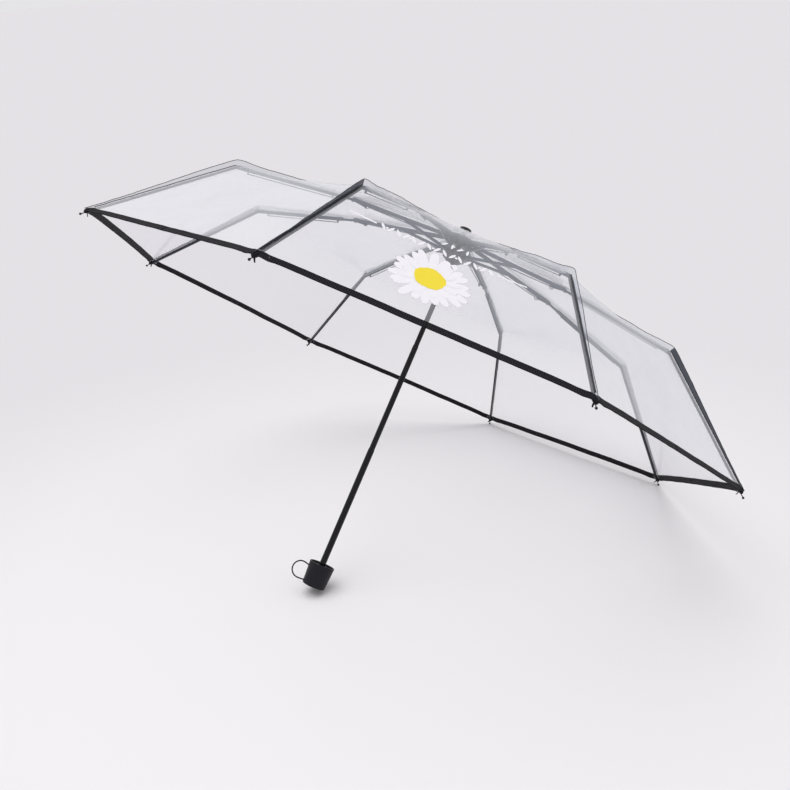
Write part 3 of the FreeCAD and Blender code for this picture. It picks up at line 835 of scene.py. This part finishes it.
def petal(centre, angle, length, width, rng):
    """Rounded petal with a shallow notch at its end."""
    left, right = [], []
    n = 16
    notch = rng.uniform(-0.25, 0.25)
    for side, edge in ((1, left), (-1, right)):
        for i in range(n + 1):
            s = i / n
            w = width / 2 * (0.42 + 0.58 * math.sin(math.pi * min(1, s * 0.72 + 0.1)) ** 0.8)
            if s > 0.8:
                w *= math.sqrt(max(0.0, 1 - ((s - 0.8) / 0.2) ** 2)) * 0.93 + 0.07 * (1 - s) / 0.2
            edge.append((PETAL_ROOT + (length - PETAL_ROOT) * s, side * w))
    dip = (length * 0.965, notch * width * 0.3)
    end = [(length * 0.99, width * 0.13), dip, (length * 0.985, -width * 0.14)]
    outline = left[:-1] + end + right[::-1][1:]
    ca, sa = math.cos(angle), math.sin(angle)
    return [(centre[0] + r * ca - w * sa, centre[1] + r * sa + w * ca) for r, w in outline]


def flower():
    """Daisy: long petals closed up beside two gaps, short ones over their roots, and the eye on top."""
    rng = random.Random(DAISY_SEED)
    centre = DAISY_CENTRE
    petals = []
    for i in range(LONG_PETALS):
        angle = 2 * math.pi * (i + rng.uniform(-0.16, 0.16)) / LONG_PETALS
        length, width = rng.uniform(*LONG_LENGTH), rng.uniform(*LONG_WIDTH)
        for start, end, beside in DAISY_GAPS:
            if start < angle < end:
                angle = beside
        if LONGEST_AT[0] < angle < LONGEST_AT[1]:
            length = LONGEST
        petals.append(petal(centre, angle, length, width, rng))
    for i in range(SHORT_PETALS):
        angle = 2 * math.pi * (i + 0.37 + rng.uniform(-0.2, 0.2)) / SHORT_PETALS
        length, width = rng.uniform(*SHORT_LENGTH), rng.uniform(*SHORT_WIDTH)
        if SHORT_GAP[0] < angle < SHORT_GAP[1]:
            continue
        petals.append(petal(centre, angle, length, width, rng))
    printed("petals", petals, WHITE_INK, INK_LIFT)
    eye = []
    for i in range(72):
        a = 2 * math.pi * i / 72
        r = EYE_R + 0.45 * math.sin(5 * a) + 0.25 * math.sin(13 * a + 1)
        eye.append((centre[0] + r * math.cos(a), centre[1] + r * math.sin(a)))
    printed("flower_eye", [eye], YELLOW_INK, EYE_LIFT)


def ornament():
    """A plain sprig of leaves and dots between two thin rules."""
    marks = []
    line = 137.2

    def bar(u0, u1, v0, v1):
        marks.append([(u0, v0), (u1, v0), (u1, v1), (u0, v1)])

    def dot(u, v, r):
        turns = [a * math.pi / 8 for a in range(16)]
        marks.append([(u + r * math.cos(a), v + r * math.sin(a)) for a in turns])

    def leaf(u, v, deg, length, width):
        a = math.radians(deg)
        outline = []
        for side in (1, -1):
            for i in range(8):
                s = i / 8 if side == 1 else 1 - i / 8
                w = side * width / 2 * math.sin(math.pi * s) ** 0.7
                outline.append((u + (s - 0.5) * length * math.cos(a) - w * math.sin(a),
                                v + (s - 0.5) * length * math.sin(a) + w * math.cos(a)))
        marks.append(outline)

    bar(-124, -92, 135.7, 138.3)
    bar(50, 84, 135.9, 138.1)
    for i in range(15):
        u = -84 + i * 9.0
        leaf(u, line, 60 if i % 2 else 120, 12.5, 3.6)
        if i % 3 == 0:
            dot(u + 4.5, 137.0, 1.7)
    for i in range(4):
        leaf(-16 + i * 9.0, 154.0, 90 if i % 2 else 50, 10.0, 2.8)
    printed("ornament", marks, WHITE_INK, 0.35)


flower()
ornament()


# ---- floor, light and background ----
FLOOR_NORMAL = Vector((-0.435, -0.435, 0.788)).normalized()
FLOOR_SIZE = 90.0
FLOOR_GAP = 0.6 * MM
HANDLE_EDGE_R = 16.4 * MM    # the handle's bottom edge, which touches the floor
FLOOR_LIGHT_FALLOFF = (0.25, 1.3)     # metres from the centre of the painted pool of light to where the painted darker grey is reached
LAMPS = (                     # name, towards the lamp, its angle in degrees, strength
    ("key", (-0.55, -0.41, 0.73), 60, 1.55),
    ("fill", (0.8, -0.5, 0.5), 50, 0.2),
)
BACKGROUND = rgb(229, 228, 230)
WORLD_LIGHT = ((0.99, 0.985, 1.0, 1), 0.52)      # colour and strength


def make_floor():
    """Pale plane under the handle's edge and the rim, seen from its upper side only, with a painted pool of
    light: brighter near the umbrella and darker grey further off.
    """
    foot = Vector((1, 1, 0)).normalized() * HANDLE_EDGE_R
    turn = FLOOR_NORMAL.to_track_quat("Z", "Y").to_matrix()
    n = 24
    points = [foot - FLOOR_NORMAL * FLOOR_GAP
              + turn @ Vector(((i / n - 0.5) * FLOOR_SIZE, (j / n - 0.5) * FLOOR_SIZE, 0))
              for i in range(n + 1) for j in range(n + 1)]
    m, tree, shader = new_material("pale floor", Roughness=0.9)
    shader.inputs["Specular IOR Level"].default_value = 0.1
    marks = place_group(tree, WEAR, {"Grain Scale": 300.0, "Blotch Scale": 0.8})
    place = put(tree, "TexCoord").outputs["Object"]
    # painted light: a pool of light painted on the floor, brightest here and falling off to a darker grey
    # away from it
    painted_light_centre = tuple(foot + Vector((0.0, -0.15, 0)))
    away = put(tree, "VectorMath", {"operation": "DISTANCE"}, {0: place, 1: painted_light_centre}).outputs["Value"]
    fade = put(tree, "MapRange", {"interpolation_type": "SMOOTHSTEP"},
               {"Value": away, "From Min": FLOOR_LIGHT_FALLOFF[0], "From Max": FLOOR_LIGHT_FALLOFF[1]}).outputs[0]
    near = blend_colours(tree, marks["Blotch"], rgb(241, 239, 241), rgb(244, 242, 244))
    tone = blend_colours(tree, fade, near, rgb(226, 224, 227))
    tree.links.new(tone, shader.inputs["Base Color"])
    back = put(tree, "NewGeometry").outputs["Backfacing"]
    tree.links.new(math_node(tree, "SUBTRACT", 1.0, back), shader.inputs["Alpha"])
    floor = new_piece("floor", points, grid_faces(n + 1, n + 1), m)
    face_out(floor, FLOOR_NORMAL)


def make_light():
    """Even studio light from the world, and two broad lamps."""
    world = bpy.data.worlds.new("studio")
    bpy.context.scene.world = world
    world.use_nodes = True
    tree = world.node_tree
    tree.nodes.clear()
    path = put(tree, "LightPath").outputs
    seen = math_node(tree, "ADD", path["Is Camera Ray"], path["Is Glossy Ray"])
    seen = math_node(tree, "ADD", seen, path["Is Transmission Ray"], clamp=True)
    lit = put(tree, "Background", sockets=dict(zip(("Color", "Strength"), WORLD_LIGHT)))
    shown = put(tree, "Background", sockets={"Color": BACKGROUND, "Strength": 1.0})
    mix = put(tree, "MixShader", sockets={0: seen, 1: lit.outputs[0], 2: shown.outputs[0]})
    tree.links.new(mix.outputs[0], put(tree, "OutputWorld").inputs[0])
    for name, towards, angle, strength in LAMPS:
        data = bpy.data.lights.new(name, "SUN")
        data.angle = math.radians(angle)
        data.energy = strength
        lamp = bpy.data.objects.new(name, data)
        lamp.rotation_euler = Vector(towards).to_track_quat("Z", "Y").to_euler()
        bpy.context.scene.collection.objects.link(lamp)


make_floor()
make_light()
bpy.context.scene.view_settings.view_transform = "Standard"
